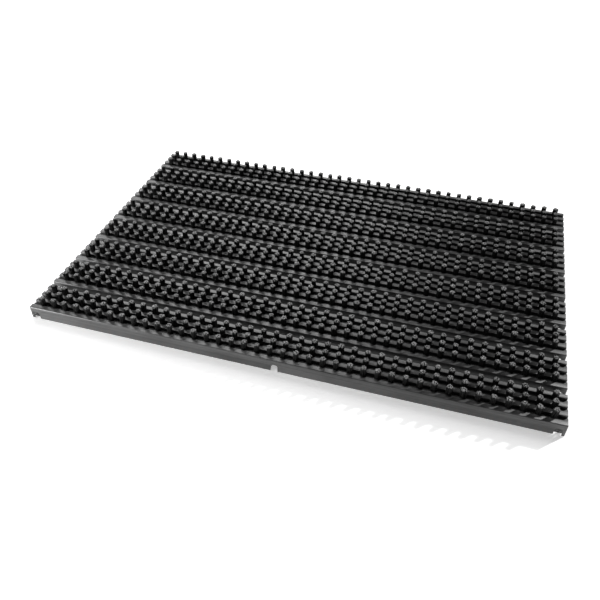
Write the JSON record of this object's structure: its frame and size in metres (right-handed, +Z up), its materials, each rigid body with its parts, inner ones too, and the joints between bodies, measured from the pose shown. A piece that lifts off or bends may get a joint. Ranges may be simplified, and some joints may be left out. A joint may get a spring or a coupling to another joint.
{
  "type": "door mat",
  "caption": "Roll-up outdoor door mat: rigid plastic strips hinged edge to edge, each holding rows of stiff bristle tufts that scrape shoe soles.",
  "frame": {"origin": "middle of the mat's footprint, on the floor that the skirts stand on", "axes": "+X along the strips, left to right for someone at the front edge; +Y from the front strip to the rear strip; +Z up, the way the bristles point"},
  "size_m": [0.6036, 0.3886, 0.027],
  "materials": {
    "profile": "satin extruded plastic, black to anthracite",
    "brush": "black stiff filament tufts in a matte black backing bar",
    "link": "black moulded plastic"
  },
  "bodies": {
    "strip_1": {"profile_1": "profile", "brush_1a": "brush", "brush_1b": "brush", "brush_1c": "brush", "link_1_left": "link", "link_1_middle": "link", "link_1_right": "link"},
    "strip_2": {"profile_2": "profile", "brush_2a": "brush", "brush_2b": "brush", "brush_2c": "brush", "link_2_left": "link", "link_2_middle": "link", "link_2_right": "link"},
    "strip_3": {"profile_3": "profile", "brush_3a": "brush", "brush_3b": "brush", "brush_3c": "brush", "link_3_left": "link", "link_3_middle": "link", "link_3_right": "link"},
    "strip_4": {"profile_4": "profile", "brush_4a": "brush", "brush_4b": "brush", "brush_4c": "brush", "link_4_left": "link", "link_4_middle": "link", "link_4_right": "link"},
    "strip_5": {"profile_5": "profile", "brush_5a": "brush", "brush_5b": "brush", "brush_5c": "brush", "link_5_left": "link", "link_5_middle": "link", "link_5_right": "link"},
    "strip_6": {"profile_6": "profile", "brush_6a": "brush", "brush_6b": "brush", "brush_6c": "brush", "link_6_left": "link", "link_6_middle": "link", "link_6_right": "link"},
    "strip_7": {"profile_7": "profile", "brush_7a": "brush", "brush_7b": "brush", "brush_7c": "brush", "link_7_left": "link", "link_7_middle": "link", "link_7_right": "link"},
    "strip_8": {"profile_8": "profile", "brush_8a": "brush", "brush_8b": "brush", "brush_8c": "brush"}
  },
  "joints": [
    {"name": "hinge_1", "type": "hinge", "parent": "strip_1", "child": "strip_2", "pos_m": [0, -0.14005, 0.0046], "axis": [1, 0, 0], "range_deg": [-40, 25]},
    {"name": "hinge_2", "type": "hinge", "parent": "strip_2", "child": "strip_3", "pos_m": [0, -0.09055, 0.0046], "axis": [1, 0, 0], "range_deg": [-40, 25]},
    {"name": "hinge_3", "type": "hinge", "parent": "strip_3", "child": "strip_4", "pos_m": [0, -0.04105, 0.0046], "axis": [1, 0, 0], "range_deg": [-40, 25]},
    {"name": "hinge_4", "type": "hinge", "parent": "strip_4", "child": "strip_5", "pos_m": [0, 0.00845, 0.0046], "axis": [1, 0, 0], "range_deg": [-40, 25]},
    {"name": "hinge_5", "type": "hinge", "parent": "strip_5", "child": "strip_6", "pos_m": [0, 0.05795, 0.0046], "axis": [1, 0, 0], "range_deg": [-40, 25]},
    {"name": "hinge_6", "type": "hinge", "parent": "strip_6", "child": "strip_7", "pos_m": [0, 0.10745, 0.0046], "axis": [1, 0, 0], "range_deg": [-40, 25]},
    {"name": "hinge_7", "type": "hinge", "parent": "strip_7", "child": "strip_8", "pos_m": [0, 0.15695, 0.0046], "axis": [1, 0, 0], "range_deg": [-40, 25]}
  ]
}
